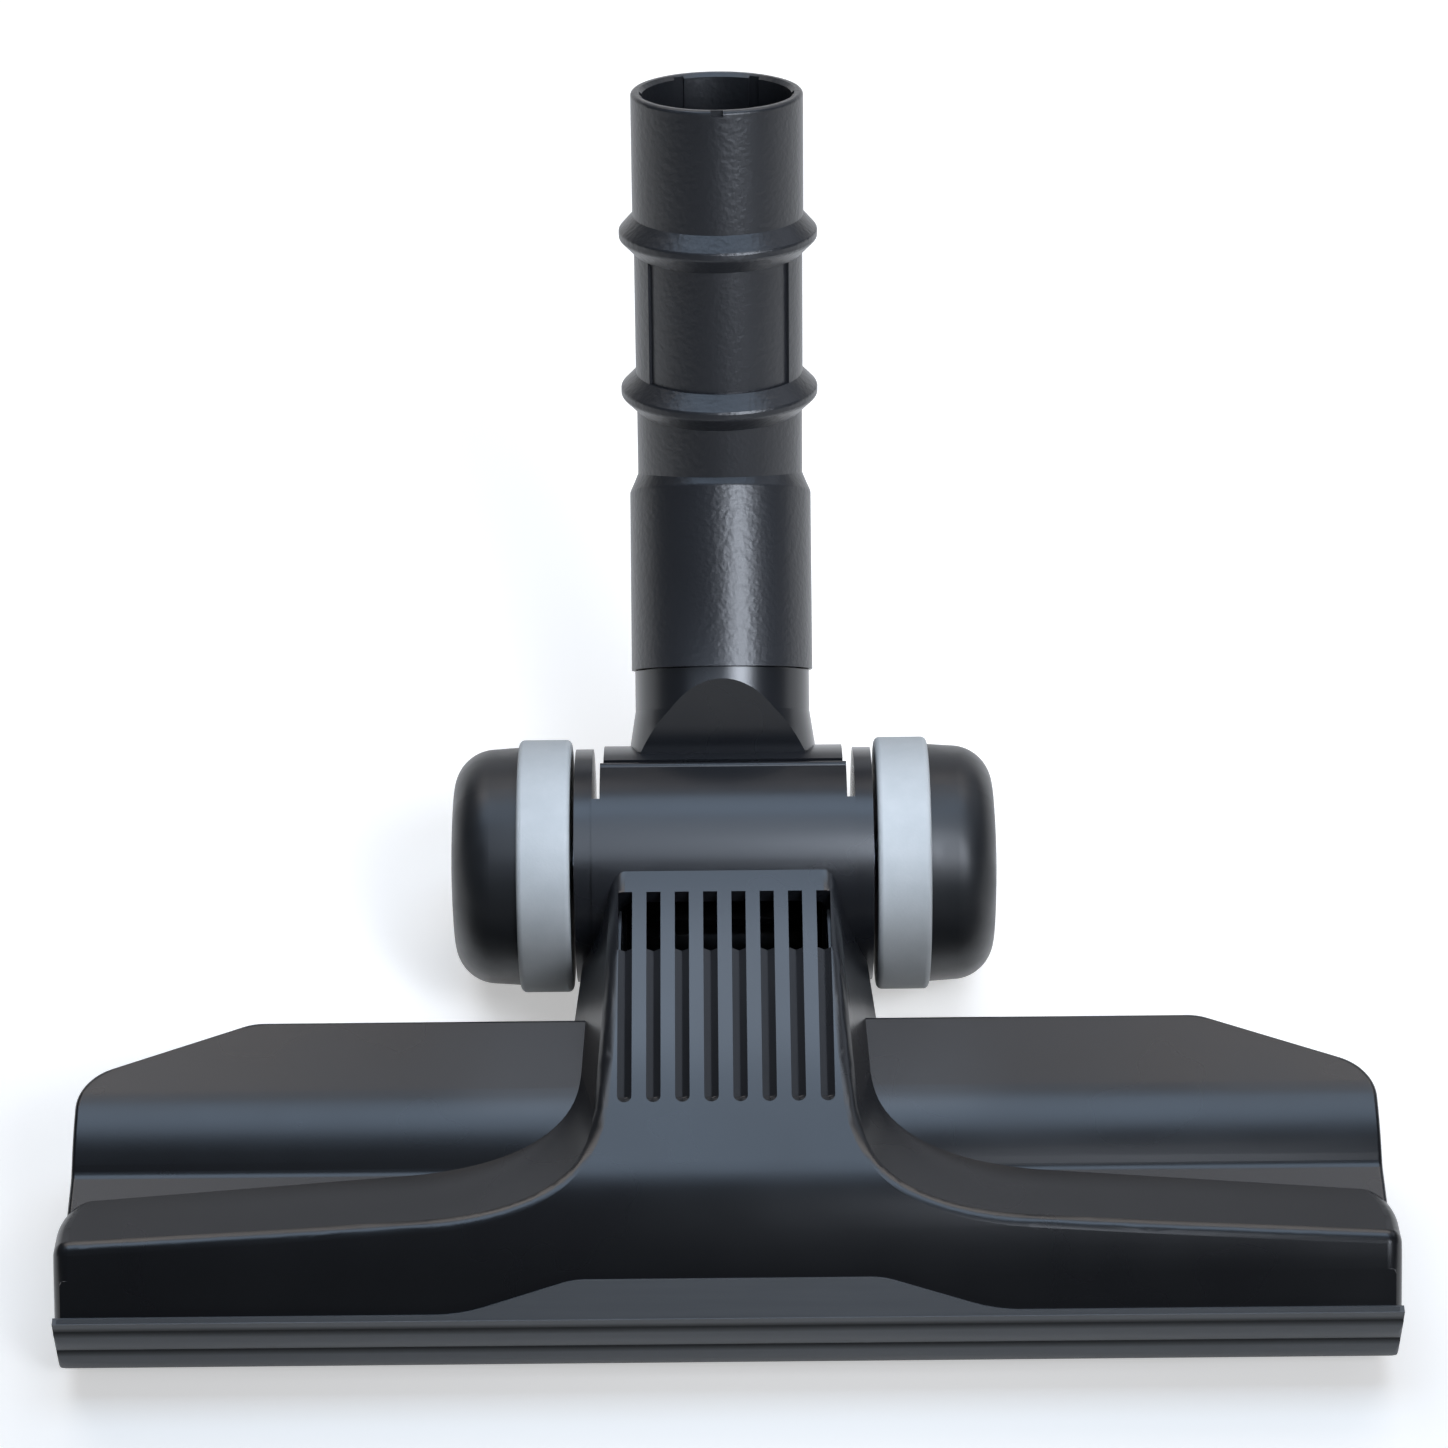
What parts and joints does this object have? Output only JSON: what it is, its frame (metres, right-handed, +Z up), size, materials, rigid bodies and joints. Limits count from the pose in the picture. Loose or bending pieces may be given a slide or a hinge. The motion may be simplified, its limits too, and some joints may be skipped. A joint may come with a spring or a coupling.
{
  "type": "vacuum floor brush head",
  "caption": "Dark hard-floor vacuum brush head with ribbed neck, grey-tyred wheels, tilting drum elbow and bent swivel wand tube.",
  "frame": {"origin": "middle of the part's outline, on the floor", "axes": "+X across the head towards the right wheel, -Y towards the bumper, +Z up"},
  "size_m": [0.2746, 0.2348, 0.1672],
  "materials": {
    "housing": "satin gloss",
    "tube": "satin gloss",
    "wheel": "gloss",
    "tyre": "satin",
    "bumper": "matte",
    "brush_back": "matte",
    "bristle": "matte",
    "seal": "matte",
    "felt": "matte",
    "steel": "satin"
  },
  "bodies": {
    "head": {"top_shell": "housing", "neck_cover": "housing", "base_plate": "housing", "bumper_strip": "bumper", "front_brush_holder": "brush_back", "rear_brush_holder": "brush_back", "front_bristles": "bristle", "rear_bristles": "bristle", "base_screws": "steel", "neck_cover_screws": "steel", "axle_pin_left": "steel", "wheel_washer_left": "steel", "wheel_clip_left": "steel", "axle_pin_right": "steel", "wheel_washer_right": "steel", "wheel_clip_right": "steel"},
    "elbow": {"elbow": "housing", "drum_seal_left": "felt", "drum_seal_right": "felt", "swivel_seal": "seal", "swivel_snap_ring": "steel"},
    "wand_tube": {"swivel_tube": "tube"},
    "wheel_left": {"wheel_hub_left": "wheel", "wheel_cap_left": "wheel", "tyre_left": "tyre"},
    "wheel_right": {"wheel_hub_right": "wheel", "wheel_cap_right": "wheel", "tyre_right": "tyre"}
  },
  "joints": [
    {"name": "neck_tilt", "type": "hinge", "parent": "head", "child": "elbow", "pos_m": [0, -0.00204, 0.0275], "axis": [-1, 0, 0], "range_deg": [0, 40]},
    {"name": "tube_swivel", "type": "hinge", "parent": "elbow", "child": "wand_tube", "pos_m": [0, 0.04392, 0.06607], "axis": [0, 0.766, 0.6428], "range_deg": [-90, 90]},
    {"name": "wheel_left_spin", "type": "hinge", "parent": "head", "child": "wheel_left", "pos_m": [0, -0.00204, 0.0275], "axis": [1, 0, 0], "continuous": true},
    {"name": "wheel_right_spin", "type": "hinge", "parent": "head", "child": "wheel_right", "pos_m": [0, -0.00204, 0.0275], "axis": [1, 0, 0], "continuous": true}
  ]
}
